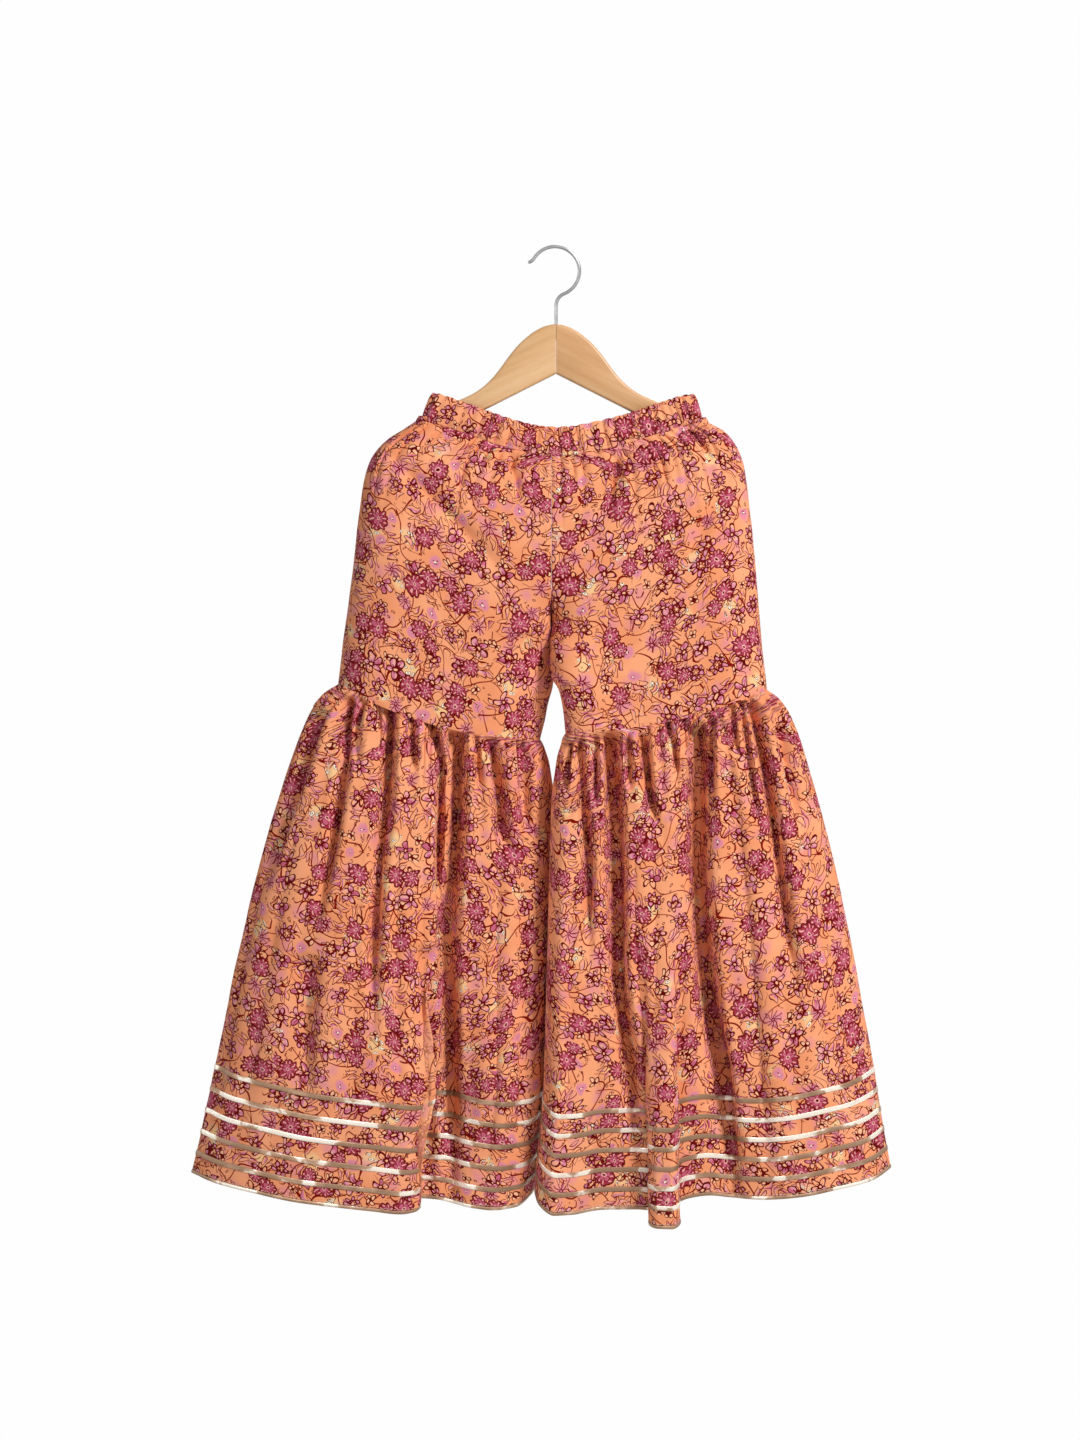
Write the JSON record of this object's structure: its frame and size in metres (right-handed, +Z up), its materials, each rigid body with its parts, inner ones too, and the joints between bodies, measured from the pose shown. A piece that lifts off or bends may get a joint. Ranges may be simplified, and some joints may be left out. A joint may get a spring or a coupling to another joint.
{
  "type": "sharara trousers on a wooden hanger",
  "caption": "Wide gathered sharara trousers with elastic waist, flared lower legs and metallic ribbon borders, hung on a mitred wooden hanger with a wire hook.",
  "frame": {"origin": "inside of the top of the hook's bow, where a rod holds the hanger", "axes": "+Z up along the hook's stem, front of the trousers towards -Y, +X to the right seen from the front"},
  "size_m": [0.6301, 0.0997, 0.8826],
  "materials": {
    "printed_cotton": "printed cotton, orange ground with plum and lilac flowers and fine gold foil",
    "gota_ribbon": "woven metallic ribbon, pale gold",
    "wood": "clear satin lacquer on pale beech",
    "hook_wire": "polished plated steel wire"
  },
  "bodies": {
    "root": {"waistband": "printed_cotton", "left_yoke_front": "printed_cotton", "left_yoke_back": "printed_cotton", "right_yoke_front": "printed_cotton", "right_yoke_back": "printed_cotton", "left_flare_front": "printed_cotton", "left_flare_back": "printed_cotton", "right_flare_front": "printed_cotton", "right_flare_back": "printed_cotton", "left_gota_1": "gota_ribbon", "left_gota_2": "gota_ribbon", "left_gota_3": "gota_ribbon", "left_gota_4": "gota_ribbon", "left_gota_5": "gota_ribbon", "right_gota_1": "gota_ribbon", "right_gota_2": "gota_ribbon", "right_gota_3": "gota_ribbon", "right_gota_4": "gota_ribbon", "right_gota_5": "gota_ribbon", "left_hem_edging": "gota_ribbon", "right_hem_edging": "gota_ribbon", "hanger_left_arm": "wood", "hanger_right_arm": "wood", "hanger_hook": "hook_wire"}
  },
  "joints": []
}
